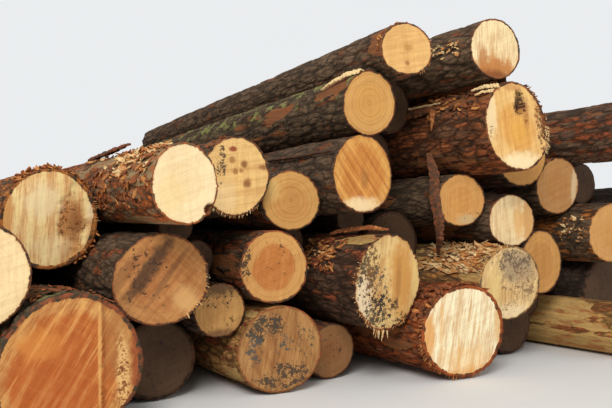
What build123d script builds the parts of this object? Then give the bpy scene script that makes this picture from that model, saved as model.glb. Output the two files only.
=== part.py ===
from build123d import *
import os
from dataclasses import dataclass
from math import atan2, cos, exp, hypot, inf, pi, radians, sin

os.makedirs("parts", exist_ok=True)

# A stack of freshly felled pine sawlogs, as it lies beside a forest track.
# +X runs along the sawn faces, +Y follows the logs into the stack, +Z is up.
# The ground is z = 0. Every butt, the thick sawn end, looks towards -Y.

METRE = 1000

# Driving dimensions, in millimetres
LOG_LENGTH = 2500          # cut length of every log
TAPER = 0.045              # share of its diameter that a log loses in each metre
CLEARANCE = 0.35           # air left between two logs that rest on each other
FLARE_REACH = 260          # how far a root flare runs up the log from its butt

# How finely the sections are drawn and compared
OUTLINE_POINTS = 12        # points on the outline of one section
STRAIGHT_SECTIONS = (0.0, 0.5, 1.0)       # where a straight log's sections lie,
CURVED_SECTIONS = (0.0, 0.12, 0.5, 1.0)   # a bowed or flared one's,
STEEP_SECTIONS = (0.0, 0.25, 0.5, 0.75, 1.0)   # and a fast tapering one's, along its length
FRONT_PLACES = (0.0, 0.1, 0.25, 0.45)     # where the front half of two logs is compared
REAR_PLACES = (0.55, 0.75, 1.0)           # and where the rear half is
SEARCH_STEPS = 24          # directions tried on each side of the line between two logs
SEARCH_TURN = radians(1.5)
SETTLING_ROUNDS = 14       # times that a log is nudged towards its supports
SAWING_ROUNDS = 3          # steps to find where a line of the bark meets a slanting cut


@dataclass
class Log:
    """One log: its girth, what it rests on and how it was felled and cut."""

    name: str
    diameter: float            # across the section at the face plane, y = 0
    beside: str = ""           # ground log that this ground log lies next to
    side: int = 1              # 1 to the right of that log, -1 to the left
    gap: float = CLEARANCE     # open ground between the two, at the face plane
    left: str = ""             # logs that carry this one, below it on either side
    right: str = ""
    ahead: float = 0           # how far the butt stands out in front of the face plane
    cut_turn: float = 0        # saw cut turned about Z, degrees
    cut_lean: float = 0        # saw cut leant about X, degrees
    oval: float = 0.015        # how far the section is from round
    oval_turn: float = 0       # direction of its long axis, degrees from +X
    lobe: float = 0.008        # a threefold swelling of the section
    lobe_turn: float = 90
    flare: float = 0           # extra radius of a root-flared butt
    taper: float = TAPER       # share of the diameter lost in each metre
    bow: float = 0             # sideways curve of the whole log
    bow_turn: float = 0
    step: float = 0            # depth of the step that the felling notch left in the butt
    step_from: float = 0       # where the step starts, to the right of the log's centre

    def ends(self):
        """Where the two saw cuts lie along Y."""
        return -self.ahead, LOG_LENGTH - self.ahead

    def share_left(self, y):
        """Share of its diameter at the face plane that the log still has at y."""
        return 1 - self.taper * y / METRE

    def section_places(self):
        """Where the drawn sections lie along Y, from saw cut to saw cut."""
        shares = CURVED_SECTIONS if self.flare or self.bow else STRAIGHT_SECTIONS
        if self.taper > TAPER:
            shares = STEEP_SECTIONS
        return [share * LOG_LENGTH - self.ahead for share in shares]

    def girth_and_bow(self, y):
        """Mean radius and sideways bow at y, straight between the drawn sections."""
        stations = self.section_places()
        k = 1
        while y > stations[k] and k < len(stations) - 1:
            k += 1
        before, after = stations[k - 1], stations[k]
        share = (y - before) / (after - before)
        values = []
        for place in (before, after):
            from_butt = place + self.ahead
            girth = self.diameter / 2 * self.share_left(place)
            girth += self.flare * exp(-max(from_butt, 0) / FLARE_REACH)
            values.append((girth, self.bow * sin(pi * from_butt / LOG_LENGTH)))
        (girth_a, bow_a), (girth_b, bow_b) = values
        return girth_a + (girth_b - girth_a) * share, bow_a + (bow_b - bow_a) * share

    def radius(self, angle, y):
        """Radius of the section at y, in the direction of angle."""
        wave = 1 + self.oval * cos(2 * (angle - radians(self.oval_turn)))
        wave += self.lobe * cos(3 * (angle - radians(self.lobe_turn)))
        return self.girth_and_bow(y)[0] * wave

    def centre(self, y):
        """Centre of the section at y: straight between the ends, plus the bow."""
        share = y / LOG_LENGTH
        side = self.girth_and_bow(y)[1]
        x = self.front[0] + (self.rear[0] - self.front[0]) * share
        z = self.front[1] + (self.rear[1] - self.front[1]) * share
        return x + side * cos(radians(self.bow_turn)), z + side * sin(radians(self.bow_turn))


def facing_gap(log, other, y):
    """Air between two logs in the plane at y, measured along the nearest radius."""
    x, z = log.centre(y)
    ox, oz = other.centre(y)
    towards = atan2(oz - z, ox - x)
    nearest = inf
    for step in range(-SEARCH_STEPS, SEARCH_STEPS + 1):
        angle = towards + step * SEARCH_TURN
        reach = log.radius(angle, y)
        px, pz = x + reach * cos(angle), z + reach * sin(angle)
        air = hypot(px - ox, pz - oz) - other.radius(atan2(pz - oz, px - ox), y)
        nearest = min(nearest, air)
    return nearest


def least_gap(log, other, places):
    """Least air over the given places along the length that two logs share."""
    start = -min(log.ahead, other.ahead)
    length = LOG_LENGTH - abs(log.ahead - other.ahead)
    return min(facing_gap(log, other, start + place * length) for place in places)


def ground_gap(log, places):
    """Least height of the log's underside above the ground."""
    lowest = inf
    for place in places:
        y = place * LOG_LENGTH - log.ahead
        z = log.centre(y)[1]
        for step in range(-SEARCH_STEPS, SEARCH_STEPS + 1):
            angle = -pi / 2 + step * SEARCH_TURN
            lowest = min(lowest, z + log.radius(angle, y) * sin(angle))
    return lowest


def cradle(left, right, from_left, from_right):
    """Point above two centres, at the given distance from each."""
    across, up = right[0] - left[0], right[1] - left[1]
    base = hypot(across, up)
    along = (from_left**2 - from_right**2 + base**2) / (2 * base)
    height = max(from_left**2 - along**2, 0) ** 0.5
    x = left[0] + (along * across - height * up) / base
    z = left[1] + (along * up + height * across) / base
    return x, z


def lay_on_ground(log, logs):
    """Set a ground log down and push it against its neighbour."""
    ends = (0, LOG_LENGTH)
    heights = [log.radius(0, y) for y in ends]
    if log.beside:
        other = logs[log.beside]
        starts = [other.front, other.rear]
        places_x = []
        for y, start in zip(ends, starts):
            touch = 2 * (log.radius(0, y) * other.radius(0, y)) ** 0.5
            places_x.append(start[0] + log.side * (touch + log.gap * log.share_left(y)))
    else:
        places_x = [0, 0]
    for _ in range(SETTLING_ROUNDS):
        log.front = (places_x[0], heights[0])
        log.rear = (places_x[1], heights[1])
        for end, places in enumerate((FRONT_PLACES, REAR_PLACES)):
            heights[end] -= ground_gap(log, places)
            if log.beside:
                air = least_gap(log, other, places) - log.gap * log.share_left(ends[end])
                places_x[end] -= log.side * air


def lay_in_cradle(log, logs):
    """Lower a log onto its two supports, with the true sections a clearance apart."""
    left, right = logs[log.left], logs[log.right]
    reach = [
        [log.radius(0, y) + other.radius(0, y) + CLEARANCE for other in (left, right)]
        for y in (0, LOG_LENGTH)
    ]
    for _ in range(SETTLING_ROUNDS):
        log.front = cradle(left.centre(0), right.centre(0), *reach[0])
        log.rear = cradle(left.centre(LOG_LENGTH), right.centre(LOG_LENGTH), *reach[1])
        for end, places in enumerate((FRONT_PLACES, REAR_PLACES)):
            for k, other in enumerate((left, right)):
                reach[end][k] += CLEARANCE - least_gap(log, other, places)


# The cut list, in the order in which the logs are laid.
# The ground row, outwards from the great root-flared butt near its left end
CUT_LIST = [
    Log("log_02", 445, ahead=20, flare=16, oval=0.02, lobe=0.02, lobe_turn=90, step=14, step_from=98),
    Log("log_01", 380, beside="log_02", side=-1, ahead=-60),
    Log("log_03", 320, beside="log_02", ahead=-260),
    Log("log_04", 350, beside="log_03", gap=85, ahead=-100, oval=0.02, oval_turn=10, cut_turn=-8),
    Log("log_05", 245, beside="log_04", ahead=-180, cut_lean=-3),
    Log("log_06", 390, beside="log_05", gap=108, ahead=120, flare=10, cut_turn=-8, oval=0.03, lobe=0.015, lobe_turn=60),
    Log("log_07", 300, beside="log_06", gap=200, ahead=-120),
    Log("log_08", 260, beside="log_07", gap=100, ahead=250, cut_turn=4),
    Log("log_09", 480, beside="log_08", ahead=-90),
    Log("log_10", 320, beside="log_09", ahead=-40),
]

# The left flank
CUT_LIST += [
    Log("log_11", 350, left="log_01", right="log_02", ahead=-10, cut_turn=-3, oval=0.02, oval_turn=30),
    Log("log_12", 338, left="log_02", right="log_03", ahead=-60, oval_turn=15, cut_turn=-9, oval=0.02),
    Log("log_13", 220, left="log_03", right="log_04", ahead=-150),
    Log("log_14", 300, left="log_13", right="log_04", ahead=-110, cut_lean=3, cut_turn=-3),
    Log("log_15", 380, left="log_05", right="log_06", ahead=40, oval=0.035, oval_turn=88, cut_turn=4, cut_lean=-3),
    Log("log_16", 370, left="log_11", right="log_12", ahead=-400, oval=0.03, oval_turn=85, cut_lean=-2),
    Log("log_17", 160, left="log_14", right="log_15", ahead=-330),
    Log("log_18", 255, left="log_14", right="log_17", ahead=-140, cut_turn=-9, cut_lean=2),
    Log("log_19", 163, left="log_12", right="log_13", ahead=-300),
    Log("log_20", 156, left="log_12", right="log_19", ahead=-300),
    Log("log_21", 303, left="log_20", right="log_18", ahead=-105, oval=0.02, oval_turn=90, cut_lean=-3),
    Log("log_22", 264, left="log_16", right="log_20", ahead=130, oval=0.05, oval_turn=90, cut_turn=5, cut_lean=2),
]

# The middle, up to the two logs on top
CUT_LIST += [
    Log("log_23", 326, left="log_15", right="log_06", ahead=-300, taper=0.08),
    Log("log_24", 164, left="log_15", right="log_23", ahead=-330),
    Log("log_25", 325, left="log_18", right="log_24", ahead=-40, oval_turn=80, cut_lean=2, cut_turn=2),
    Log("log_26", 345, left="log_06", right="log_07", ahead=70, cut_turn=-7, cut_lean=-2),
    Log("log_27", 160, left="log_07", right="log_08", ahead=-180),
    Log("log_28", 320, left="log_26", right="log_27", ahead=-20, cut_turn=3, cut_lean=2),
    Log("log_29", 262, left="log_26", right="log_28", ahead=-20, cut_turn=-9, cut_lean=2, oval=0.03),
    Log("log_30", 256, left="log_23", right="log_29", ahead=-90, cut_turn=-10, oval=0.02),
    Log("log_31", 140, left="log_24", right="log_23", ahead=-330, taper=0.11),
    Log("log_32", 265, left="log_25", right="log_31", ahead=-330, taper=0.06),
    Log("log_33", 280, left="log_25", right="log_32", ahead=-92, oval=0.02, oval_turn=70, cut_turn=-4, cut_lean=-2, taper=0.07),
]

# The right flank, up to the tilted log that the top pair leans on
CUT_LIST += [
    Log("log_34", 200, left="log_08", right="log_09", ahead=-230),
    Log("log_35", 316, left="log_34", right="log_09", ahead=40, cut_turn=-8),
    Log("log_36", 210, left="log_29", right="log_28", ahead=-330, taper=0.11),
    Log("log_37", 307, left="log_36", right="log_35", ahead=-120, cut_turn=-4, cut_lean=-3),
    Log("log_38", 316, left="log_36", right="log_37", ahead=-115, cut_turn=-6, taper=0.08),
    Log("log_39", 393, left="log_30", right="log_38", ahead=130, oval=0.04, oval_turn=110, cut_turn=-3, cut_lean=4, taper=0.07),
    Log("log_40", 266, left="log_32", right="log_39", ahead=-330, taper=0.1),
    Log("log_41", 240, left="log_33", right="log_40", ahead=-20, cut_turn=-12, oval=0.03, cut_lean=3, taper=0.1),
    Log("log_42", 283, left="log_40", right="log_39", ahead=100, cut_turn=-6, cut_lean=2),
    Log("log_43", 300, left="log_09", right="log_10", ahead=-120),
    Log("log_44", 312, left="log_35", right="log_43", ahead=-60),
    Log("log_45", 237, left="log_35", right="log_44", ahead=-180),
    Log("log_46", 310, left="log_37", right="log_45", ahead=250, cut_turn=-5),
]


logs = {}
for log in CUT_LIST:
    logs[log.name] = log
    if log.left:
        lay_in_cradle(log, logs)
    else:
        lay_on_ground(log, logs)

# The origin is the middle of the stack's footprint, on the ground
LEFT_END = min(log.centre(y)[0] - log.radius(pi, y) for log in CUT_LIST for y in log.ends())
RIGHT_END = max(log.centre(y)[0] + log.radius(0, y) for log in CUT_LIST for y in log.ends())
MIDDLE_X = (LEFT_END + RIGHT_END) / 2
MIDDLE_Y = (min(log.ends()[0] for log in CUT_LIST) + max(log.ends()[1] for log in CUT_LIST)) / 2


def section_plane(y):
    """A plane across the stack at y, with its x along +X and its y up."""
    return Plane(origin=(-MIDDLE_X, y - MIDDLE_Y, 0), x_dir=(1, 0, 0), z_dir=(0, -1, 0))


def saw_cut(log):
    """The plane of the butt's saw cut, turned and leant about the log's centre."""
    turn, lean = radians(log.cut_turn), radians(log.cut_lean)
    x, z = log.centre(-log.ahead)
    return Plane(
        origin=(x - MIDDLE_X, -log.ahead - MIDDLE_Y, z),
        x_dir=(cos(turn), sin(turn), 0),
        z_dir=(sin(turn) * cos(lean), -cos(turn) * cos(lean), sin(lean)),
    )


def outline(log, y, plane):
    """Points where the log's surface meets a plane near y, in the plane's own x and y."""
    points = []
    for k in range(OUTLINE_POINTS):
        angle = 2 * pi * k / OUTLINE_POINTS
        place = y
        for _ in range(SAWING_ROUNDS):
            x, z = log.centre(place)
            reach = log.radius(angle, place)
            x, z = x + reach * cos(angle) - MIDDLE_X, z + reach * sin(angle)
            point = Vector(x, place - MIDDLE_Y, z)
            place -= (point - plane.origin).dot(plane.z_dir) / plane.z_dir.Y
        drawn = plane.to_local_coords(point)
        points.append((drawn.X, drawn.Y))
    return points


def build_log(log):
    """Loft a log from its slanting saw cut to its far end, then take out the felling step."""
    with BuildPart() as piece:
        for number, y in enumerate(log.section_places()):
            plane = section_plane(y) if number else saw_cut(log)
            with BuildSketch(plane):
                with BuildLine():
                    Spline(*outline(log, y, plane), periodic=True)
                make_face()
        loft(ruled=True)
        if log.step:
            with BuildSketch(saw_cut(log)):
                with Locations((log.step_from + log.diameter / 2, 0)):
                    Rectangle(log.diameter, 2 * log.diameter)
            extrude(amount=-log.step, mode=Mode.SUBTRACT)
    piece.part.label = log.name
    return piece


if __name__ == "__main__":
    for log in CUT_LIST:
        piece = build_log(log)
        export_step(piece.part, "parts/" + log.name + ".step")
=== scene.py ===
import math
import random
from itertools import product

import bpy
import numpy as np
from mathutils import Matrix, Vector
from mathutils.bvhtree import BVHTree


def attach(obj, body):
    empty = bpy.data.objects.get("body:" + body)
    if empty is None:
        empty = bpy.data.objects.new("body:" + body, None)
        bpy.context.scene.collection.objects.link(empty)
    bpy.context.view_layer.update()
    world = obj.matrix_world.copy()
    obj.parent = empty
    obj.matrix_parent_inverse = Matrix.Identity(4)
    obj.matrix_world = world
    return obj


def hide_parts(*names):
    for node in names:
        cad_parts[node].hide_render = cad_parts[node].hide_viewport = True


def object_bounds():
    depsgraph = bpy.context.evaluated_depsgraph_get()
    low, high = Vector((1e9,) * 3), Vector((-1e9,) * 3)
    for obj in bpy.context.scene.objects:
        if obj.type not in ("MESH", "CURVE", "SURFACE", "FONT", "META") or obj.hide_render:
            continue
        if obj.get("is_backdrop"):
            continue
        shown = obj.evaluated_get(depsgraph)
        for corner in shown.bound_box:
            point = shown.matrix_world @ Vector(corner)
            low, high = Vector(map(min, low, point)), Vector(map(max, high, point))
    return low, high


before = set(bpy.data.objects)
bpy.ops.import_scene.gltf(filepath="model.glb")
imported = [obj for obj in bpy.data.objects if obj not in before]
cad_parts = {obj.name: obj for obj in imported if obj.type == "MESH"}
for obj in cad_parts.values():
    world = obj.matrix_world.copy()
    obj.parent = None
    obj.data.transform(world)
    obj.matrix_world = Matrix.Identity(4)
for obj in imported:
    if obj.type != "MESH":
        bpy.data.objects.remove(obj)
size = {"frame": [list(corner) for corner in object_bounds()]}
LOWEST, HIGHEST = np.array(size["frame"])

# Lengths in metres
# Least depth of the visible surface below the solid's, and distance from the sides of the CAD box
SKIN = 0.0006
INSET = 0.0005
END_INSET = 0.001
# A butt lies within this length of a solid, and the sections of a barrel are measured behind it
BUTT_DEPTH = 0.12
FIRST_SPAN = 0.09
SECTIONS = (0.62, 1.25, 1.9)
BEFORE_BUTT = 0.01
# Heights of the relief: swellings of the barrel, dips in a face, its fibres, torn places and frayed edge
SWELLING = 0.005
DIP = 0.003
FIBRE = 0.0016
TEAR = 0.007
FRAY = 0.01
# Loose bark is rooted this much below the surface
FLAKE_ROOT = 0.006
SPLINTER_ROOT = 0.016
# Meshes of a log: points around it, steps along it, rings on its face
LARGE_GRID = ((140, 110, 20))
GRID = ((96, 76, 11))
BURIED_GRID = ((56, 46, 5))


def linear(c):
    c = c / 255
    return c / 12.92 if c <= 0.04045 else ((c + 0.055) / 1.055) ** 2.4


def srgb(digits):
    """A colour as it looks on a screen, from its six hexadecimal digits."""
    return tuple(linear(c) for c in bytes.fromhex(digits)) + (1,)


def shade(colour, share):
    """The colour, darker for a share below 1 and lighter above it."""
    return tuple(min(1, c * share) for c in colour[:3]) + (1,)


def latewood(colour):
    """The browner tone of the same wood."""
    return (colour[0] * 0.62, colour[1] * 0.46, colour[2] * 0.38, 1)


# Seeded noise for the geometry
def lattice(i, j, k, seed):
    """One random number from 0 to 1 for each whole-number point."""
    h = np.uint32((seed * 2654435761) & 0xFFFFFFFF)
    for n, prime in ((i, 73856093), (j, 19349663), (k, 83492791)):
        h = h ^ (n.astype(np.uint32) * np.uint32(prime))
    h = (h ^ (h >> np.uint32(15))) * np.uint32(2246822519)
    h = (h ^ (h >> np.uint32(13))) * np.uint32(3266489917)
    h = h ^ (h >> np.uint32(16))
    return h.astype(np.float64) / 4294967295


def smooth_noise(p, seed):
    """Value noise from 0 to 1 at each row of p."""
    base = np.floor(p).astype(np.int64)
    f = p - base
    f = f * f * (3 - 2 * f)
    total = np.zeros(p.shape[:-1])
    for a, b, c in product((0, 1), repeat=3):
        weight = np.abs(1 - a - f[..., 0]) * np.abs(1 - b - f[..., 1])
        weight = weight * np.abs(1 - c - f[..., 2])
        total += weight * lattice(base[..., 0] + a, base[..., 1] + b, base[..., 2] + c, seed)
    return total


def rough_noise(p, seed, octaves):
    """Several sizes of value noise, from 0 to 1."""
    total, weight = 0, 0
    for k in range(octaves):
        total = total + smooth_noise(p * 2**k, seed + 17 * k) / 1.8**k
        weight += 1 / 1.8**k
    return total / weight


def log_shift(seed):
    """Where in the noise a log lies, so that no two are alike."""
    return np.array([seed * 3.1, seed * 1.7, seed * 0.9])


def waves(p, across, along, seed, salt, octaves):
    """Rough noise with so many waves a metre across the log and along it."""
    return rough_noise(p * np.array([across, across, along]) + log_shift(seed), seed + salt, octaves)


def plates(p, seed):
    """Cells: how far each point is from the border of its cell, and the cell's own number."""
    base = np.floor(p).astype(np.int64)
    first = np.full(p.shape[:-1], 9.0)
    second = np.full(p.shape[:-1], 9.0)
    own = np.zeros(p.shape[:-1])
    for a, b, c in product((-1, 0, 1), repeat=3):
        i, j, k = base[..., 0] + a, base[..., 1] + b, base[..., 2] + c
        away = [n + lattice(i, j, k, seed + axis) - p[..., axis] for axis, n in enumerate((i, j, k))]
        d = np.sqrt(sum(x * x for x in away))
        nearer = d < first
        second = np.where(nearer, first, np.minimum(second, d))
        own = np.where(nearer, lattice(i, j, k, seed + 3), own)
        first = np.where(nearer, d, first)
    return second - first, own


def step(x, low, high):
    t = np.clip((x - low) / (high - low), 0, 1)
    return t * t * (3 - 2 * t)


def terraces(x, levels):
    """The value x in flat steps with steep edges, as layers of bark break off."""
    scaled = x * levels
    whole = np.floor(scaled)
    return (whole + step(scaled - whole, 0.72, 1.0)) / levels


class Shader:
    """The nodes of a material or a world."""

    def __init__(self, holder):
        self.holder = holder
        holder.use_nodes = True
        self.tree = holder.node_tree
        self.tree.nodes.clear()

    def node(self, kind):
        return self.tree.nodes.new("ShaderNode" + kind)

    def fill(self, node, inputs):
        """Sets or links the inputs of a node, and gives its outputs."""
        for key, value in inputs.items():
            if isinstance(value, bpy.types.NodeSocket):
                self.tree.links.new(value, node.inputs[key])
            else:
                node.inputs[key].default_value = value
        return node.outputs

    def attribute(self, name, output="Fac"):
        node = self.node("Attribute")
        node.attribute_name = name
        return node.outputs[output]

    def math(self, kind, a, b):
        node = self.node("Math")
        node.operation = kind
        return self.fill(node, {0: a, 1: b})[0]

    def times(self, a, b):
        return self.math("MULTIPLY", a, b)

    def plus(self, total, *others):
        for other in others:
            total = self.math("ADD", total, other)
        return total

    def about(self, noise, amount):
        """The noise, swinging about zero by this amount from lowest to highest."""
        return self.times(self.math("SUBTRACT", noise, 0.5), amount)

    def vector(self, kind, a, b=(0, 0, 0)):
        node = self.node("VectorMath")
        node.operation = kind
        output = "Value" if kind in ("LENGTH", "DOT_PRODUCT") else "Vector"
        return self.fill(node, {0: a, 1: b})[output]

    def noise(self, place, scale, detail, rough, output="Fac"):
        inputs = dict(Vector=place, Scale=scale, Detail=detail, Roughness=rough)
        return self.fill(self.node("TexNoise"), inputs)[output]

    def cracks(self, place, scale):
        node = self.node("TexVoronoi")
        node.feature = "DISTANCE_TO_EDGE"
        return self.fill(node, dict(Vector=place, Scale=scale))["Distance"]

    def between(self, value, low, high, a=0, b=1):
        node = self.node("MapRange")
        node.interpolation_type = "SMOOTHSTEP"
        inputs = {"Value": value, "From Min": low, "From Max": high, "To Min": a, "To Max": b}
        return self.fill(node, inputs)["Result"]

    def mix(self, share, a, b):
        """Of two colours; their sockets come after those for numbers and vectors."""
        node = self.node("Mix")
        node.data_type = "RGBA"
        return self.fill(node, {0: share, 6: a, 7: b})[2]

    def over(self, colour, tint, value, low, high, share):
        """The colour, with a share of the tint over it as the value goes from low to high."""
        return self.mix(self.between(value, low, high, 0, share), colour, tint)

    def bump(self, height, strength, distance, **before):
        inputs = dict(before, Strength=strength, Distance=distance, Height=height)
        return self.fill(self.node("Bump"), inputs)[0]

    def finish(self, colour, roughness, **normal):
        inputs = {"Base Color": colour, "Roughness": roughness, "Specular IOR Level": 0.2}
        surface = self.fill(self.node("BsdfPrincipled"), dict(inputs, **normal))[0]
        self.fill(self.node("OutputMaterial"), {"Surface": surface})
        return self.holder


# Colours of pine wood, bark and dirt
CREAM = "f0d8aa"
STRAW = "e6c47d"
GOLD = "d8a65a"
TAN = "c49253"
UMBER = "8c5830"
SOIL = "342a26"
BLUE_STAIN = "544f46"
OUTER_BARK = "66503c"
RED_BARK = "925230"
ORANGE_BARK = "c07437"
BARE_WOOD = "cea463"
LICHEN = "969654"

# What a log looks like if nothing else is said.
# Places on a face are shares of its radius, right of and above its middle.
# stains: right, up, half width, half height, strength, colour
# dirt: right, up, half width, half height, share covered, colour
# hollows: right, up, half width, half height, depth in metres
# peeled: angle, distance from the butt, half angle, half length
PLAIN = dict(
    wood=STRAW, heart=GOLD, heart_size=0.5, heart_strength=0.4, pith=(0, 0), rings=0.4, fibres=0.2,
    fibre_turn=90, stain_turn=0, marks=0.25, mark_turn=20, stains=(), dirt=(), hollows=(), rim=0.006,
    ragged=0.3, bark=OUTER_BARK, flake=RED_BARK, flakes=0.35, bare=0, peeled=(), plate=0.04,
    depth=0.007, lichen=0, under="96603a",
)
# Logs in the depth of the stack, darkened as painted shade, with soil-coloured blotches
SHADE_DARKENED = dict(
    wood="58412e", heart="443022", rings=0.5, bark="48382c", flake="68402a", flakes=0.25, bare=0.02,
    dirt=((0, 0, 1.2, 1.2, 0.35, SOIL),),
)
# The logs whose bark or face shows
LOOKS = {}
# The great butt at the lower left, its darker tones partly weathering and partly painted shade
LOOKS["02"] = dict(
    wood="d09c5a", heart="b8622a", heart_size=0.8, heart_strength=0.85, rings=0.3, fibres=0.9,
    fibre_turn=58, mark_turn=150, pith=(-0.1, -0.3), rim=0.011, bark="62543e",
    flake="965030", depth=0.009, plate=0.055, lichen=0.5,
    stains=(
        (-0.25, -0.3, 0.7, 0.8, 0.5, "ac5422"), (-0.4, 0.3, 0.36, 0.26, 0.4, "dc9648"),
        (0.62, 0.3, 0.24, 0.7, 0.7, "a6703e"), (0.36, 0.1, 0.03, 1, 0.6, "e8b268"),
        (0.69, -0.2, 0.11, 0.6, 0.8, "e6bc7a"), (0.9, -0.05, 0.12, 0.8, 0.85, "8a3c20"),
    ),
    dirt=((0.66, -0.2, 0.17, 0.7, 0.8, "9c6234"), (0.7, -0.3, 0.12, 0.6, 0.5, "6e3e22")),
)
LOOKS["04"] = dict(
    wood="b0824e", heart="a06c3c", rings=0.3, fibres=0.9, fibre_turn=80, marks=0.5,
    mark_turn=120, bark="b07e48", flake="a45430", flakes=0.5, bare=0.7, depth=0.004, under=BARE_WOOD,
    dirt=(
        (-0.35, 0.5, 0.6, 0.4, 0.95, "3a3730"), (-0.6, 0, 0.3, 0.5, 0.7, BLUE_STAIN),
        (0.1, 0.15, 0.4, 0.35, 0.6, BLUE_STAIN), (0.1, -0.6, 0.9, 0.45, 0.75, "42382e"),
        (0.6, 0.2, 0.4, 0.7, 0.45, "5a4a38"),
    ),
)
LOOKS["05"] = dict(wood="966c44", heart=UMBER, dirt=((0, 0, 1, 1, 0.3, SOIL),))
LOOKS["06"] = dict(
    wood="faecc4", heart="eeb85c", heart_strength=0.05, rings=0.1, fibres=0.9, fibre_turn=80,
    bark="8c5436", flake="b05828", flakes=0.8, rim=0.014, depth=0.01,
    stains=(
        (-0.8, -0.1, 0.18, 0.7, 0.8, "de9a4a"), (0.1, -0.88, 0.8, 0.2, 0.7, "de9a4a"),
        (0.86, 0.1, 0.1, 0.6, 0.6, GOLD), (0.1, -0.55, 0.7, 0.3, 0.35, "ecb060"),
        (-0.5, 0.1, 0.05, 0.6, 0.5, "e6a654"), (0.4, -0.3, 0.03, 0.6, 0.4, "e6a654"),
        (-0.1, -0.4, 0.03, 0.5, 0.4, "e6a654"),
    ),
)
LOOKS["08"] = dict(
    wood=GOLD, heart=TAN, bark="ba8a4f", flake="a86036", flakes=0.6, bare=0.55, depth=0.004,
    under=BARE_WOOD,
)
LOOKS["11"] = dict(wood="f0d4a0", heart_strength=0.15, rings=0.25, flakes=0.6)
# Darker tones, partly weathering and partly painted shade
LOOKS["12"] = dict(
    wood="c08850", heart="a66636", heart_size=0.7, heart_strength=0.5, rings=0.5, fibres=0.5,
    fibre_turn=48, marks=0.4, mark_turn=140, stain_turn=-35,
    stains=(
        (-0.25, 0.2, 0.2, 1, 0.85, "463224"), (0.1, 0, 0.08, 0.8, 0.5, "60402a"),
        (-0.75, 0.1, 0.16, 0.7, 0.5, "784e2e"), (0.5, -0.45, 0.4, 0.3, 0.5, "e0b272"),
    ),
    dirt=((-0.3, 0.1, 0.7, 0.9, 0.45, "463022"),),
)
# Half hidden; a painted sunlit tan band across its face, with painted shade in the dark stains and
# blotches above and below it
LOOKS["13"] = dict(
    wood="be9054", heart="ac7844", heart_strength=0.3, rings=0.35, fibres=0.5, bark="544030",
    flakes=0.4, stains=((0, 0.85, 1.1, 0.45, 0.9, "543c2a"), (0, -0.9, 1, 0.3, 0.8, "60422c")),
    dirt=((-0.2, 0.4, 0.9, 0.5, 0.5, SOIL), (0.2, -0.5, 0.8, 0.4, 0.4, "6e4a2c")),
)
LOOKS["14"] = dict(
    wood="d09c5a", heart="b86e34", heart_size=0.62, heart_strength=0.85, rings=0.5, fibres=0.25,
    fibre_turn=80, flake="a0542e", flakes=0.6,
    dirt=((-0.85, 0.2, 0.26, 0.8, 0.8, SOIL), (0.2, 0.2, 0.7, 0.7, 0.3, "5a3c28")),
)
LOOKS["15"] = dict(
    wood="e2c484", heart="d08e45", heart_size=0.6, heart_strength=0.25, rings=0.3, fibres=0.7,
    fibre_turn=86, marks=0.3, bark="5c4230", flakes=0.4, under=BARE_WOOD, flake="9e5432",
    peeled=((112, 0.1, 15, 0.13),),
    stains=(
        (0.42, 0.05, 0.42, 1.1, 0.85, "cc9048"), (0.84, 0, 0.16, 0.9, 0.7, STRAW),
        (0.3, 0, 0.1, 0.6, 0.4, UMBER), (-0.7, -0.3, 0.3, 0.6, 0.5, "f0e0c4"),
    ),
    dirt=(
        (-0.6, 0.3, 0.5, 0.9, 0.8, SOIL), (-0.4, 0.1, 0.4, 0.9, 0.6, "7a5432"),
        (-0.2, -0.1, 0.35, 0.9, 0.5, BLUE_STAIN), (-0.2, -0.6, 0.8, 0.5, 0.8, SOIL),
        (0.35, -0.85, 0.7, 0.3, 0.7, SOIL),
    ),
)
# Fibres torn out of its right half
LOOKS["16"] = dict(
    wood="fad694", heart="e29244", heart_size=0.4, heart_strength=0.1, pith=(-0.25, 0.2), rings=0.3,
    fibres=1, fibre_turn=88, marks=0.2, rim=0.012, flake=ORANGE_BARK, flakes=0.9,
    hollows=((0.45, 0, 0.32, 0.75, 0.005),),
    stains=(
        (0.42, -0.05, 0.34, 0.6, 0.8, "b06a32"), (0.5, -0.1, 0.16, 0.4, 0.6, UMBER),
        (0.5, -0.65, 0.4, 0.2, 0.5, "ce8a46"), (-0.15, 0.35, 0.42, 0.42, 0.7, "fae2b0"),
        (0.8, 0.2, 0.1, 0.26, 0.6, "f8e2b4"), (-0.85, 0.1, 0.16, 0.6, 0.7, "d49450"),
        (0, -0.55, 0.5, 0.3, 0.4, "f6dca8"),
    ),
    dirt=((0.42, -0.1, 0.4, 0.7, 0.55, "744222"),),
)
LOOKS["18"] = dict(
    wood="d09e5a", heart="ba8043", heart_size=0.62, heart_strength=0.5, rings=1, fibres=0.15,
    stains=((-0.6, 0.3, 0.3, 0.4, 0.35, STRAW),),
)
LOOKS["21"] = dict(
    wood="e8c07c", heart="da9e54", heart_strength=0.2, rings=0.25, fibres=0.3, fibre_turn=92, marks=0.6,
    mark_turn=8,
    stains=(
        (0.22, 0.3, 0.11, 0.12, 0.9, UMBER), (0.32, -0.16, 0.14, 0.16, 0.9, UMBER),
        (-0.12, 0.4, 0.1, 0.1, 0.7, UMBER), (-0.02, 0.12, 0.08, 0.08, 0.7, UMBER),
        (0.14, 0.14, 0.07, 0.07, 0.7, UMBER), (0.82, 0.24, 0.22, 0.1, 0.8, UMBER),
        (-0.1, 0.66, 0.14, 0.08, 0.95, "924228"), (-0.3, -0.5, 0.4, 0.5, 0.3, CREAM),
    ),
    dirt=((-0.42, 0.3, 0.2, 0.7, 0.7, SOIL),),
)
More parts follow.
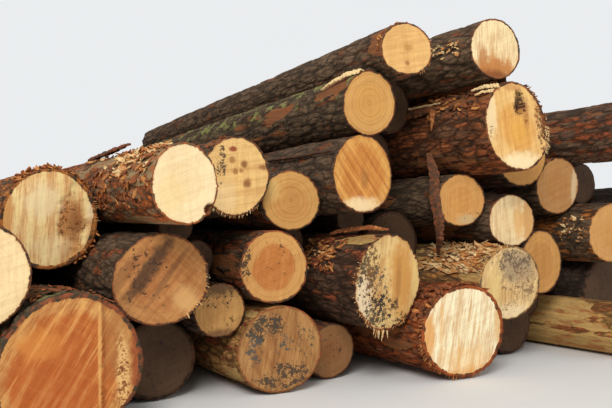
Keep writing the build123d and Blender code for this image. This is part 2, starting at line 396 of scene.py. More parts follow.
LOOKS["22"] = dict(
    wood="f4dcac", heart_strength=0.12, rings=0.18, fibres=0.12, marks=0.2, bark="967454",
    flake="b26030", flakes=0.75, bare=0.2, depth=0.006, peeled=((120, 0.48, 24, 0.34),), under="a88a62",
    hollows=((0.68, -0.66, 0.2, 0.16, 0.03),),
    stains=((0.66, -0.62, 0.16, 0.14, 0.95, "9c4628"), (-0.4, -0.3, 0.5, 0.6, 0.35, STRAW)),
)
LOOKS["25"] = dict(
    wood="dea658", heart="c47431", heart_size=0.7, heart_strength=0.55, rings=0.35, fibres=0.3,
    fibre_turn=60, marks=1, mark_turn=128,
    stains=((-0.05, -0.8, 0.8, 0.26, 0.85, "f2d6a4"), (0.05, -0.1, 0.16, 0.3, 0.5, UMBER)),
)
LOOKS["26"] = dict(
    wood="eccc90", heart_strength=0.1, rings=0.25, fibres=0.8, fibre_turn=84, marks=0.4, mark_turn=60,
    bark="a88662", flake="be8246", flakes=0.8, bare=0.5, under=BARE_WOOD,
    stains=(
        (0.25, 0.4, 0.75, 0.6, 0.85, "a28a6c"), (-0.5, -0.1, 0.3, 0.7, 0.5, STRAW),
        (0.1, -0.8, 0.8, 0.3, 0.5, "f6e2b8"), (0.55, -0.1, 0.4, 0.5, 0.5, "be9c70"),
    ),
    dirt=(
        (0.1, 0.55, 0.8, 0.45, 0.8, "625040"), (0.3, 0, 0.8, 0.7, 0.6, "826446"),
        (-0.1, -0.5, 0.8, 0.5, 0.35, "967654"),
    ),
)
LOOKS["28"] = dict(wood="cc9653", heart="b0743a", heart_size=0.6, rings=0.4)
LOOKS["29"] = dict(
    wood="f4d8a6", heart_strength=0.15, rings=0.25, fibres=0.5,
    stains=((0.7, 0, 0.3, 1, 0.8, "cc924d"), (0.3, 0, 0.26, 0.8, 0.6, "e2a85c")),
)
LOOKS["30"] = dict(
    wood="d8a05c", heart="cc8c45", rings=0.4, fibres=0.3,
    stains=((0.3, -0.7, 0.5, 0.24, 0.6, "c4b084"),), dirt=((0.5, -0.6, 0.5, 0.35, 0.45, "6e5c4c"),),
)
LOOKS["33"] = dict(
    wood="d6a25e", heart="ce964d", heart_size=0.6, heart_strength=0.5, rings=1, fibres=0.15, marks=0.2,
    bark="68523c", flakes=0.3, lichen=1,
)
LOOKS["35"] = dict(wood="d49e5e", heart="c88e48", flake=ORANGE_BARK, flakes=0.5)
LOOKS["37"] = dict(wood="c6925a", heart="b87c3f", rings=0.4, stains=((0.75, 0, 0.16, 0.8, 0.6, CREAM),))
LOOKS["38"] = dict(wood="d69e5a", heart="ca8a43")
LOOKS["39"] = dict(
    wood="ecc07a", heart="dc983f", heart_size=0.55, heart_strength=0.6, rings=0.25, fibres=0.5,
    fibre_turn=96, bark="704c34", flake="9e5a34", flakes=0.85, bare=0.25, rim=0.008, depth=0.009,
    hollows=((0.13, 0.5, 0.15, 0.3, 0.03), (0.85, 0.1, 0.12, 0.4, 0.012)),
    stains=(
        (-0.75, 0.2, 0.2, 0.7, 0.7, CREAM), (0.1, -0.78, 0.8, 0.24, 0.8, "f8e2b2"),
        (-0.1, 0.85, 0.3, 0.1, 0.6, "be824f"), (0.1, 0.5, 0.2, 0.3, 0.8, "5c361e"),
        (0.3, 0.3, 0.12, 0.5, 0.4, UMBER), (0.05, -0.1, 0.3, 0.4, 0.5, "e2a645"),
    ),
    dirt=(
        (0.78, 0.2, 0.26, 0.9, 0.95, "603a22"), (0.62, 0.4, 0.12, 0.6, 0.7, "965c32"),
        (-0.7, -0.2, 0.2, 0.3, 0.4, SOIL), (0.3, 0.35, 0.12, 0.4, 0.6, "8c4e26"),
        (0.12, 0.5, 0.24, 0.36, 0.9, "422a1c"),
    ),
)
LOOKS["41"] = dict(
    wood="e2b472", heart_strength=0.15, rings=0.35, fibres=0.35, fibre_turn=10, marks=0.4, mark_turn=94,
    bark="705842", flakes=0.3, pith=(0.05, 0),
    stains=((0.06, 0.05, 0.2, 0.14, 0.6, "b0763a"), (0, -0.5, 0.09, 0.09, 0.7, UMBER)),
)
LOOKS["42"] = dict(
    wood="f6deac", heart_strength=0.1, rings=0.25, fibres=0.7, fibre_turn=88, bark="6e5640", flakes=0.3,
    depth=0.009, plate=0.05,
    stains=(
        (-0.5, -0.35, 0.24, 0.5, 0.8, "b06e36"), (0, -0.62, 0.95, 0.4, 0.95, "b8763c"),
        (-0.1, -0.3, 0.1, 0.4, 0.6, "c48446"), (0.5, -0.45, 0.14, 0.4, 0.6, "c48446"),
        (0, -0.92, 0.9, 0.32, 0.95, "844c28"),
    ),
)
LOOKS["46"] = dict(bark="705642", flake="9c5432", flakes=0.5, depth=0.009)


def full_look(changes):
    """PLAIN with a log's own changes, and its colours as a shader takes them."""
    look = dict(PLAIN, **changes)
    for key, value in look.items():
        if isinstance(value, str):
            look[key] = srgb(value)
    for key in ("stains", "dirt"):
        look[key] = [(*numbers, srgb(tint)) for *numbers, tint in look[key]]
    return look


def bark_layers(s, look, long, fine, scaly):
    """Weathered outer bark over the fresh red layers under it, and where these lie open."""
    colour = s.mix(s.between(fine, 0.32, 0.7), shade(look["bark"], 0.55), shade(look["bark"], 1.35))
    broad = s.noise(long, 7, 3, 0.6)
    age = s.plus(s.times(s.attribute("layer"), 0.55), s.times(scaly, 0.9), s.times(broad, 0.5))
    limit = 0.66 + 0.42 * look["flakes"]
    fresh = s.between(age, limit - 0.015, limit + 0.015, 1, 0)
    red = s.mix(s.between(fine, 0.35, 0.7), shade(look["flake"], 0.5), shade(look["flake"], 1.15))
    colour = s.mix(fresh, colour, red)
    inner = s.between(age, limit - 0.24, limit - 0.2, 0.7, 0)
    return s.mix(inner, colour, shade(look["flake"], 1.45)), fresh


def fissures(s, look, colour, place, long):
    """The colour with dark cracks in it, and the cracks."""
    bend = s.vector("MULTIPLY", s.noise(place, 24, 2, 0.5, "Color"), (0.02, 0.02, 0.02))
    crack = s.between(s.cracks(s.vector("ADD", long, bend), 30), 0.02, 0.12, 0.65, 0)
    colour = s.mix(crack, colour, shade(look["bark"], 0.22))
    return s.mix(s.times(s.attribute("pit"), 0.8), colour, shade(look["bark"], 0.2)), crack


def with_lichen(s, colour, place, amount):
    patch = s.noise(place, 16, 5, 0.7)
    grown = s.between(patch, 0.62 - 0.1 * amount, 0.68 - 0.1 * amount, 0, 0.7)
    return s.mix(s.times(grown, s.between(s.attribute("up"), 0, 0.5)), colour, srgb(LICHEN))


def bare_wood(s, look, place, scaly):
    """Wood laid bare where the bark is lost, and its grain."""
    grain = s.noise(s.vector("MULTIPLY", place, (1, 1, 0.05)), 60, 5, 0.6)
    colour = s.mix(s.between(grain, 0.3, 0.7), shade(look["under"], 0.62), look["under"])
    return s.over(colour, shade(look["flake"], 0.9), scaly, 0.5, 0.62, 0.75), grain


def bark_material(name, look, seed):
    s = Shader(bpy.data.materials.new(name))
    place = s.vector("ADD", s.attribute("local", "Vector"), (seed * 1.37, seed * 0.73, 0))
    long = s.vector("MULTIPLY", place, (1, 1, 0.3))
    fine = s.noise(long, 110, 5, 0.65)
    scaly = s.noise(long, 34, 5, 0.62)
    colour, fresh = bark_layers(s, look, long, fine, scaly)
    colour, crack = fissures(s, look, colour, place, long)
    if look["lichen"]:
        colour = with_lichen(s, colour, place, look["lichen"])
    bare, grain = bare_wood(s, look, place, scaly)
    covered = s.between(s.plus(s.attribute("bark"), s.about(scaly, 0.9)), 0.44, 0.52)
    colour = s.mix(covered, bare, colour)
    heights = ((fine, 0.6), (fresh, -0.5), (crack, -0.6), (covered, 0.6))
    normal = s.bump(s.plus(*(s.times(*pair) for pair in heights)), 0.8, 0.005)
    return s.finish(colour, 0.9, Normal=s.bump(grain, 0.2, 0.002, Normal=normal))


def along_lines(s, place, turn, stretch):
    """The place, stretched along lines at an angle of turn degrees on the face."""
    a = math.radians(turn)
    across = s.vector("DOT_PRODUCT", place, (-math.sin(a), math.cos(a), 0))
    along = s.vector("DOT_PRODUCT", place, (math.cos(a), math.sin(a), 0))
    return s.fill(s.node("CombineXYZ"), {0: across, 1: s.times(along, stretch)})[0]


def oval(s, centred, frayed, x, y, rx, ry, fray, turn=0):
    """How deep a place lies in a frayed oval: 0 in its middle, 1 at its edge."""
    apart = s.vector("SUBTRACT", centred, (x, y, 0))
    if turn:
        apart = along_lines(s, apart, turn - 90, 1)
    apart = s.vector("MULTIPLY", apart, (1 / rx, 1 / ry, 0))
    return s.plus(s.vector("LENGTH", apart), s.about(frayed, fray))


def heart_and_sap(s, look, place, share, wobble, frayed, late):
    """Sapwood with the heartwood in it."""
    patchy = s.noise(place, 4, 4, 0.6)
    colour = s.over(look["wood"], late, patchy, 0.35, 0.7, 0.11)
    reach = s.plus(share, s.about(wobble, 0.3), s.about(frayed, 0.22))
    middle = look["heart_size"]
    inside = s.between(reach, middle - 0.07, middle + 0.07, look["heart_strength"], 0)
    return s.mix(inside, colour, look["heart"])


def with_growth(s, look, colour, wobble, late):
    """Growth rings, some years stronger than others, and rays that run out from the pith."""
    ring = s.plus(s.attribute("ring"), s.times(wobble, 0.02))
    year = s.vector("MULTIPLY", (1, 0, 0), ring)
    narrow, wide = s.noise(year, 260, 1, 0.5), s.noise(year, 85, 2, 0.6)
    colour = s.over(colour, late, narrow, 0.48, 0.66, 0.32 * look["rings"])
    colour = s.over(colour, late, wide, 0.5, 0.62, 0.36 * look["rings"])
    ray = s.noise(s.attribute("turn", "Vector"), 26, 4, 0.7)
    return s.over(colour, late, ray, 0.54, 0.66, 0.16)


def with_saw_marks(s, look, colour, place, late, pale):
    """Fibres torn by the saw and passes of its chain, and their height."""
    torn = along_lines(s, place, look["fibre_turn"], 0.08)
    sawn = along_lines(s, place, look["mark_turn"], 0.03)
    fibre, strand = s.noise(torn, 150, 4, 0.6), s.noise(torn, 42, 3, 0.6)
    teeth, passes = s.noise(sawn, 190, 2, 0.6), s.noise(sawn, 46, 3, 0.55)
    fibres, marks = look["fibres"], look["marks"]
    for tint, value, low, high, share in (
        (late, fibre, 0.47, 0.6, 0.5 * fibres), (late, strand, 0.5, 0.6, 0.4 * fibres),
        (pale, strand, 0.48, 0.4, 0.5 * fibres), (late, teeth, 0.48, 0.6, 0.3 * marks),
        (late, passes, 0.5, 0.6, 0.42 * marks), (pale, passes, 0.44, 0.36, 0.3 * marks),
    ):
        colour = s.over(colour, tint, value, low, high, share)
    heights = ((teeth, marks + 0.1), (passes, marks), (fibre, 0.8 * fibres))
    return colour, s.plus(*(s.times(*pair) for pair in heights))


def with_stains(s, look, colour, centred, frayed):
    for x, y, rx, ry, strength, tint in look["stains"]:
        deep = oval(s, centred, frayed, x, y, rx, ry, 1.3, look["stain_turn"])
        colour = s.mix(s.between(deep, 0.4, 1.15, strength, 0), colour, tint)
    return colour


def with_dirt(s, look, colour, place, centred, frayed):
    """Dirt in crisp blotches."""
    if not look["dirt"]:
        return colour
    sizes = ((62, 6, 0.7, 0.5), (20, 3, 0.6, 0.25), (170, 3, 0.6, 0.25))
    blotch = s.plus(*(s.times(s.noise(place, *size[:3]), size[3]) for size in sizes))
    for x, y, rx, ry, cover, tint in look["dirt"]:
        deep = oval(s, centred, frayed, x, y, rx, ry, 0.6)
        limit = s.between(deep, 0.45, 1.3, 0.59 - 0.13 * cover, 0.66)
        colour = s.over(colour, tint, s.math("SUBTRACT", blotch, limit), 0, 0.025, 0.9)
    return colour


def with_rim(s, look, colour, share, wobble, frayed):
    """Dirtier wood towards the rim, then the thin ring of bark itself."""
    near = s.plus(share, s.about(frayed, 0.14))
    colour = s.over(colour, shade(look["heart"], 0.6), near, 0.9, 1, 0.45)
    skin = s.plus(s.attribute("skin"), s.about(frayed, 1.3), s.about(wobble, 0.8))
    ring = s.mix(s.between(frayed, 0.42, 0.6), shade(look["flake"], 0.8), shade(look["bark"], 0.4))
    return s.over(colour, ring, skin, 0.55, 0.72, 1)


def face_material(name, look, seed):
    s = Shader(bpy.data.materials.new(name))
    place = s.vector("ADD", s.attribute("local", "Vector"), (seed * 1.91, seed * 0.57, 0))
    share = s.attribute("share")
    centred = s.attribute("spot", "Vector")
    wobble = s.noise(place, 6, 2, 0.5)
    frayed = s.noise(place, 30, 5, 0.68)
    late = latewood(look["heart"])
    pale = shade(look["wood"], 1.25)
    colour = heart_and_sap(s, look, place, share, wobble, frayed, late)
    colour = with_growth(s, look, colour, wobble, late)
    colour, marks = with_saw_marks(s, look, colour, place, late, pale)
    colour = with_stains(s, look, colour, centred, frayed)
    colour = with_dirt(s, look, colour, place, centred, frayed)
    colour = with_rim(s, look, colour, share, wobble, frayed)
    height = s.plus(marks, s.times(s.noise(place, 160, 4, 0.6), 0.5))
    return s.finish(colour, 0.8, Normal=s.bump(height, 0.5, 0.003))


def loose_material(name):
    """Loose bark and splinters: tint 0 is dark bark, 1 red, 2 orange, 3 pale wood."""
    s = Shader(bpy.data.materials.new(name))
    place = s.attribute("local", "Vector")
    fine = s.noise(place, 130, 5, 0.7)
    grainy = s.noise(s.vector("MULTIPLY", place, (1, 0.35, 1)), 60, 5, 0.65)
    tint = s.plus(s.attribute("tint"), s.about(grainy, 2.2))
    colour = srgb("4e3a2c")
    for lighter, low, high in ((RED_BARK, 0.1, 0.9), ("cc884a", 1.2, 1.9), ("f0d096", 2.1, 2.8)):
        colour = s.over(colour, srgb(lighter), tint, low, high, 1)
    colour = s.over(colour, srgb("60402c"), fine, 0.5, 0.62, 0.5)
    return s.finish(colour, 0.85, Normal=s.bump(fine, 0.5, 0.002))


def outwards(angle):
    """Away from the middle of a log, at an angle in degrees."""
    a = math.radians(angle)
    return np.array([math.cos(a), 0, math.sin(a)])


def round_log(angle):
    """Round a log, at an angle in degrees."""
    a = math.radians(angle)
    return np.array([-math.sin(a), 0, math.cos(a)])


class LogForm:
    """The shape of one log, measured from its CAD solid."""

    def __init__(self, node, around):
        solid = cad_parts[node].data
        points = np.array([v.co for v in solid.vertices], float)
        corners = [tuple(p) for p in points]
        self.tree = BVHTree.FromPolygons(corners, [tuple(f.vertices) for f in solid.polygons])
        self.around = around
        self.butt, self.tip = points[:, 1].min(), points[:, 1].max()
        front = points[points[:, 1] < self.butt + BUTT_DEPTH]
        rear = points[points[:, 1] > self.tip - 1e-4]
        self.front, far = ((part.min(0) + part.max(0)) / 2 for part in (front, rear))
        self.slope = (far - self.front) / (far[1] - self.front[1])
        self.angles = np.arange(around) * 2 * math.pi / around
        whole = front[:, 1].max() + 0.002
        self.measure(whole)
        self.find_rim(whole)

    def middle(self, y):
        y = np.asarray(y, float) - self.front[1]
        return self.front[0] + self.slope[0] * y, self.front[2] + self.slope[2] * y

    def measure(self, whole):
        """Radii by angle at a few places along the log, from the first whole section on."""
        places = [whole, whole + FIRST_SPAN, whole + 0.25]
        places += [self.butt + back for back in SECTIONS] + [self.tip - END_INSET]
        table = np.zeros((len(places), self.around))
        for i, y in enumerate(places):
            x, z = self.middle(y)
            for k, a in enumerate(self.angles):
                out = Vector((math.cos(a), 0, math.sin(a)))
                table[i, k] = self.tree.ray_cast(Vector((x, y, z)), out)[3] or table[max(i - 1, 0), k]
        widening = (table[0] - table[1]) / FIRST_SPAN
        first = table[0] + widening * (whole - self.butt + BEFORE_BUTT)
        self.places = np.array([self.butt - BEFORE_BUTT] + places)
        self.table = np.vstack([first, table])

    def radius(self, k, y):
        return np.interp(y, self.places, self.table[:, k])

    def sawn_y(self, x, z, otherwise):
        hit = self.tree.ray_cast(Vector((x, self.butt - 0.1, z)), Vector((0, 1, 0)))
        return hit[0][1] if hit[0] is not None else otherwise

    def find_rim(self, whole):
        self.rim = np.full(self.around, whole)
        for k, a in enumerate(self.angles):
            y = self.front[1]
            for _ in range(2):
                x, z = self.middle(y)
                r = self.radius(k, y) * 0.985
                y = self.sawn_y(x + r * math.cos(a), z + r * math.sin(a), y)
            self.rim[k] = y

    def on_barrel(self, angle, back, lift):
        """A point over the bark: angle in degrees, back from the rim, lifted outwards."""
        k = int(round(angle / 360 * self.around)) % self.around
        y = self.rim[k] + back
        x, z = self.middle(y)
        return np.array([x, y, z]) + (self.radius(k, y) + lift) * outwards(angle)


def bark_left(look, seed, local, own, flat):
    """1 where bark is left, 0 where the wood is bare."""
    cover = waves(local, 9, 2.6, seed, 31, 3) + 0.10 * (own - 0.5)
    limit = 0.28 + 0.42 * look["bare"]
    bark = step(cover, limit - 0.03, limit + 0.03)
    angle = np.degrees(np.arctan2(local[..., 1], local[..., 0]))
    for turn, place, half_turn, half_length in look["peeled"]:
        off = np.abs((angle - turn + 180) % 360 - 180) / half_turn
        deep = np.hypot(off, (local[..., 2] - place) / half_length)
        bark = bark * step(deep + (flat - 0.5) * 1.2, 0.8, 1.0)
    return bark


def bark_relief(look, seed, local, back):
    """Depth of the bark surface below the log's outline, with what its colours need."""
    twist = waves(local, 22, 9, seed, 5, 3) - 0.5
    twist = twist[..., None] * np.array([1.3, 1.3, 0.7])
    cell = np.array([1, 1, 0.32]) / look["plate"]
    border, own = plates(local * cell + log_shift(seed) + twist, seed + 11)
    pit = 1 - step(border, 0.02, 0.2)
    flat = waves(local, 30, 10, seed, 21, 4)
    layer = terraces(0.55 * flat + 0.45 * own, 5)
    bark = bark_left(look, seed, local, own, flat)
    thick = look["depth"]
    deep = bark * (pit * 0.8 + (1 - layer) * 1.1) * thick + (1 - bark) * thick * 1.1
    lump = (waves(local, 5, 1.6, seed, 41, 2) - 0.5) * SWELLING
    # Calmer near the rim, but not on a peeled log
    calm = 1.0 if look["peeled"] else 0.3 + 0.7 * step(back, 0.0, 0.05)
    even = deep.mean(axis=1, keepdims=True)
    deep = even + (deep - even) * calm
    return SKIN + np.clip(deep + lump, 0, None), dict(pit=pit, bark=bark, layer=layer)


def barrel_points(form, look, seed, lengthways):
    """Rings of points from the rim to the far end, with what the bark's colours need."""
    t = np.linspace(0, 1, lengthways + 1)
    t = 0.3 * t + 0.7 * t**2.2
    y = form.rim + t[:, None] * (form.tip - form.rim)
    r = np.stack([form.radius(k, y[:, k]) for k in range(form.around)], axis=1)
    mid_x, mid_z = form.middle(y)
    cos, sin = np.cos(form.angles), np.sin(form.angles)
    local = np.stack([r * cos, r * sin, y - form.butt], axis=-1)
    deep, on_bark = bark_relief(look, seed, local, y - form.rim)
    on_bark["up"] = np.broadcast_to(sin, y.shape)
    x = mid_x + (r - deep) * cos
    z = np.maximum(mid_z + (r - deep) * sin, INSET)
    fray = step(rough_noise(local[:1] * np.array([60, 60, 0]), seed + 51, 3), 0.45, 0.8)
    y[0] += SKIN + look["ragged"] * FRAY * fray[0]
    y[-1] = form.tip - END_INSET
    return np.stack([x, y, z], axis=-1), on_bark


def face_rings(form, rim, pith, rings):
    """Points on the sawn butt in rings from the rim in to the pith, and their share of the radius."""
    points, share = [], []
    for s in np.linspace(1, 0, rings + 1)[1:-1] ** 0.85:
        for k in range(form.around):
            x, z = pith[0] + (rim[k, 0] - pith[0]) * s, pith[1] + (rim[k, 2] - pith[1]) * s
            points.append((x, form.sawn_y(x, z, form.rim[k]), z))
            share.append(s)
    points.append((pith[0], form.sawn_y(pith[0], pith[1], form.rim.mean()), pith[1]))
    return np.array(points), np.array(share + [0])


def carve_face(look, seed, points, share, middle, mean):
    """Moves the points of a face in, to its unevenness, torn fibres and hollows."""
    flat = points * np.array([1, 0, 1])
    a = math.radians(look["fibre_turn"])
    across = flat[:, 0] * -math.sin(a) + flat[:, 2] * math.cos(a)
    along = flat[:, 0] * math.cos(a) + flat[:, 2] * math.sin(a)
    strand = np.stack([across * 70, along * 6, across * 0], -1)
    uneven = waves(flat, 14, 14, seed, 61, 3) * DIP
    torn = step(waves(flat, 60, 60, seed, 71, 2), 0.5, 0.8) * step(share, 0.88, 1.0)
    fibres = rough_noise(strand + log_shift(seed), seed + 81, 2) * FIBRE * look["fibres"]
    points[:, 1] += SKIN + uneven + fibres + look["ragged"] * TEAR * torn
    for right, up, half_width, half_height, depth in look["hollows"]:
        off_x = ((points[:, 0] - middle[0]) / mean - right) / half_width
        off_z = ((points[:, 2] - middle[1]) / mean - up) / half_height
        edge = np.hypot(off_x, off_z) + waves(flat, 50, 50, seed, 91, 2) - 0.5
        points[:, 1] += depth * (1 - step(edge, 0.7, 1.0))


def ring_quads(rings, backwards=False):
    """Quads between neighbouring rings of point numbers."""
    quads = []
    for outer, inner in zip(rings[:-1], rings[1:]):
        loop = [outer, np.roll(outer, -1), np.roll(inner, -1), inner]
        quads.append(np.stack(loop[::-1] if backwards else loop, -1))
    return np.concatenate(quads)


def log_faces(around, face_start, pith, far_end):
    """Faces by point number: barrel, sawn face, far end, each in rings, then its middle point."""
    numbers = np.arange(around)
    along = [start + numbers for start in range(0, face_start, around)]
    inward = [numbers] + [start + numbers for start in range(face_start, pith, around)]
    outward = [along[-1], pith + 1 + numbers]
    quads = np.concatenate([ring_quads(along), ring_quads(inward, True), ring_quads(outward)])
    near, far = np.full(around, pith), np.full(around, far_end)
    near_fan = np.stack([inward[-1], near, np.roll(inward[-1], -1)], -1)
    far_fan = np.stack([outward[-1], np.roll(outward[-1], -1), far], -1)
    return quads.tolist() + near_fan.tolist() + far_fan.tolist()


def log_mesh(name, form, look, seed, lengthways, rings):
    around = form.around
    barrel, on_bark = barrel_points(form, look, seed, lengthways)
    mean = form.table[0].mean()
    middle = form.middle(form.front[1])
    pith = (middle[0] + look["pith"][0] * mean, middle[1] + look["pith"][1] * mean)
    face, share = face_rings(form, barrel[0], pith, rings)
    carve_face(look, seed, face, share, middle, mean)
    end_x, end_z = form.middle(form.tip)
    end = np.array([end_x, form.tip - END_INSET, end_z])
    half_way = end + (barrel[-1] - end) * 0.5
    points = np.vstack([barrel.reshape(-1, 3), face, half_way, end])
    total, face_start = len(points), barrel.shape[0] * around
    faces = log_faces(around, face_start, face_start + len(face) - 1, total - 1)
    mesh = bpy.data.meshes.new(name)
    mesh.from_pydata(points.tolist(), [], faces)
    sawn = np.ones(len(faces), np.int32)
    sawn[:lengthways * around] = 0
    mesh.polygons.foreach_set("material_index", sawn)
    mesh.polygons.foreach_set("use_smooth", np.ones(len(faces), bool))

    for label, values in on_bark.items():
        store(mesh, label, np.append(values.ravel(), np.zeros(total - face_start)))
    shares = np.concatenate([np.ones(face_start), share, np.full(around, 0.5), [0]])
    store_face_places(mesh, form, look, points, shares, face_start, pith, mean)
    mesh.validate()
    return mesh


def store_face_places(mesh, form, look, points, shares, face_start, pith, mean):
    """Where each point lies on its log and its face, as the shaders read it."""
    skin = np.ones(len(points))
    edge = 1 - look["rim"] / mean
    skin[face_start:] = step(shares[face_start:], edge - 0.06, edge + 0.03)
    for label, values in dict(share=shares, ring=shares * mean, skin=skin).items():
        store(mesh, label, values)
    x, z = form.middle(points[:, 1])
    local = np.stack([points[:, 0] - x, points[:, 2] - z, points[:, 1] - form.butt], -1)
    off = np.stack([points[:, 0] - pith[0], points[:, 2] - pith[1], np.zeros(len(points))], -1)
    off /= np.linalg.norm(off, axis=1, keepdims=True) + 1e-9
    store(mesh, "local", local)
    store(mesh, "turn", off)
    store(mesh, "spot", local * np.array([1, 1, 0]) / mean)


def store(mesh, label, values):
    """A number or a vector for each point of the mesh."""
    values = np.asarray(values, np.float32)
    kind, key = ("FLOAT", "value") if values.ndim == 1 else ("FLOAT_VECTOR", "vector")
    mesh.attributes.new(label, kind, "POINT").data.foreach_set(key, values.ravel())


def unit(v):
    return v / (np.linalg.norm(v) + 1e-9)


class Bits:
    """Loose bark and splinters of one log, as small closed solids."""

    def __init__(self, form, seed):
        self.form = form
        self.draw = random.Random(seed).uniform
        self.points, self.faces, self.tints = [], [], []

    def add(self, points, faces, tint):
        start = len(self.points)
        self.points += [tuple(p) for p in points]
        self.faces += [tuple(start + i for i in f) for f in faces]
        self.tints += [tint] * len(points)

    def flake(self, middle, along, out, length, width, thick, curl, tint):
        """An irregular scale of bark, curled away from what it lies on."""
        across = unit(np.cross(out, along))
        corners = 8
        low = []
        for i in range(corners):
            a = 2 * math.pi * i / corners
            reach = self.draw(0.45, 1.15)
            u, v = math.cos(a) * reach, math.sin(a) * reach
            lift = curl * (u + 1) ** 2 / 4
            low.append(middle + along * u * length / 2 + across * v * width / 2 + out * lift)
        low.append(middle + out * curl * 0.25)
        high = [p + out * thick for p in low]
        faces = []
        for i in range(corners):
            j = (i + 1) % corners
            above_i, above_j = corners + 1 + i, corners + 1 + j
            faces += [(corners, j, i), (2 * corners + 1, above_i, above_j), (i, j, above_j, above_i)]
        self.add(low + high, faces, tint)

    def ribbon(self, path, outs, widths, thick, tint, cup=0):
        """A strip along a path of points, closed at both ends; cup bows it across."""
        points, faces = [], []
        for i, (p, out, width) in enumerate(zip(path, outs, widths)):
            ahead = unit(path[min(i + 1, len(path) - 1)] - path[max(i - 1, 0)])
            side = unit(np.cross(ahead, out)) * width / 2
            high = p + out * cup * width
            points += [p - side, high, p + side]
            points += [p + side + out * thick, high + out * thick, p - side + out * thick]
        last = 6 * (len(path) - 1)
        for a, j in product(range(0, last, 6), range(6)):
            k = (j + 1) % 6
            faces.append((a + j, a + k, a + 6 + k, a + 6 + j))
        faces += [(5, 4, 1, 0), (4, 3, 2, 1)]
        faces += [(last, last + 1, last + 4, last + 5), (last + 1, last + 2, last + 3, last + 4)]
        self.add(points, faces, tint)

    def uneven_ribbon(self, path, outs, widths, thick, tint, cup=0.25):
        """The same, drawn finer, with torn edges."""
        fine = np.linspace(0, len(path) - 1, 9 * len(path))
        rows = np.hstack([path, outs, np.array(widths)[:, None]]).T
        rows = np.array([np.interp(fine, np.arange(len(path)), row) for row in rows]).T
        widths = [w * self.draw(0.75, 1.15) for w in rows[:, 6]]
        shaken = [p + np.array([self.draw(-1, 1) for _ in range(3)]) * 0.0015 for p in rows[:, :3]]
        self.ribbon(shaken, [unit(out) for out in rows[:, 3:6]], widths, thick, tint, cup)

    def flakes(self, count, angles, backs, lengths, curl, tints, spread=0.9, slim=1.0):
        """Scales of bark, strewn over part of the barrel."""
        for _ in range(count):
            angle = self.draw(*angles)
            back = self.draw(*backs)
            length = self.draw(*lengths)
            swing = self.draw(-spread, spread)
            along = unit(np.array([0, math.cos(swing), 0]) + round_log(angle) * math.sin(swing))
            if self.draw(0, 1) < 0.5:
                along = -along
            middle = self.form.on_barrel(angle, back + length / 2, -FLAKE_ROOT)
            width = length * slim * self.draw(0.28, 0.6)
            thick = self.draw(0.0015, 0.004)
            lift = curl * self.draw(0.3, 1)
            tint = self.draw(*tints)
            self.flake(middle, along, outwards(angle), length, width, thick, lift, tint)

    def splinters(self, count, angles, lengths, lean, tint, widest=0.005):
        """Torn fibres at the rim. lean 0 points straight out, 1 straight down."""
        front = np.array([0, -1, 0])
        for _ in range(count):
            angle = self.draw(*angles)
            aim = unit(outwards(angle) * (1 - lean) + np.array([0, 0, -1]) * lean)
            aim = unit(aim + np.array([self.draw(-0.3, 0.3), self.draw(0, 0.3), 0]))
            back = 0.002 + self.draw(0, 0.008)
            root = self.form.on_barrel(angle, back, -SPLINTER_ROOT)
            length = self.draw(*lengths) + 0.012
            width = self.draw(0.002, widest)
            path = [root, root + aim * length * 0.55, root + aim * length]
            own_tint = tint - self.draw(0, 0.6)
            self.ribbon(path, [front] * 3, [width, width * 0.7, 0.0008], 0.002, own_tint)

    def strip(self, places, widths, thick, tint):
        """A ribbon over the barrel: each place is an angle, a distance back and a lift."""
        path = [self.form.on_barrel(*place) for place in places]
        self.uneven_ribbon(path, [outwards(place[0]) for place in places], widths, thick, tint)

    def flap(self, places, heights, thick, tint):
        """Bark that has come away and stands up along the barrel, given as for a strip."""
        path = [self.form.on_barrel(*place) for place in places]
        self.uneven_ribbon(path, [round_log(place[0]) for place in places], heights, thick, tint, 0.1)

    def finish(self, name):
        points = np.clip(np.array(self.points), LOWEST + INSET, HIGHEST - INSET)
        mesh = bpy.data.meshes.new(name)
        mesh.from_pydata(points.tolist(), [], self.faces)
        store(mesh, "tint", self.tints)
        store(mesh, "local", points)
        mesh.validate()
        return mesh


def bits_16(b):
    b.flakes(150, (35, 130), (-0.012, 0.06), (0.02, 0.06), 0.022, (0.7, 2))
    b.flakes(34, (-62, -18), (-0.012, 0.03), (0.015, 0.035), 0.014, (1, 2.2))
    b.splinters(26, (-60, 30), (0, 0.012), 0.2, 2.6)


def bits_22(b):
    b.flakes(90, (95, 165), (0, 0.34), (0.03, 0.08), 0.014, (0.9, 2.8), 0.4, 0.6)
    b.flakes(40, (85, 120), (0.3, 0.9), (0.03, 0.08), 0.014, (0.6, 2.4), 0.4, 0.6)
    b.strip(((103, 0.4, 0.022), (103, 0.52, 0.015), (102, 0.66, 0.006), (101, 0.88, -0.002)),
            (0.01, 0.036, 0.046, 0.03), 0.006, 0.5)
    b.flakes(60, (95, 150), (0, 0.5), (0.012, 0.035), 0.01, (2, 3))
    b.flakes(90, (150, 215), (0.01, 0.75), (0.02, 0.055), 0.012, (0.4, 2))


def bits_21(b):
    b.flakes(16, (95, 150), (-0.004, 0.03), (0.012, 0.03), 0.01, (0.5, 1.6))
    b.splinters(40, (-130, -40), (0, 0.01), 0.7, 2.8)


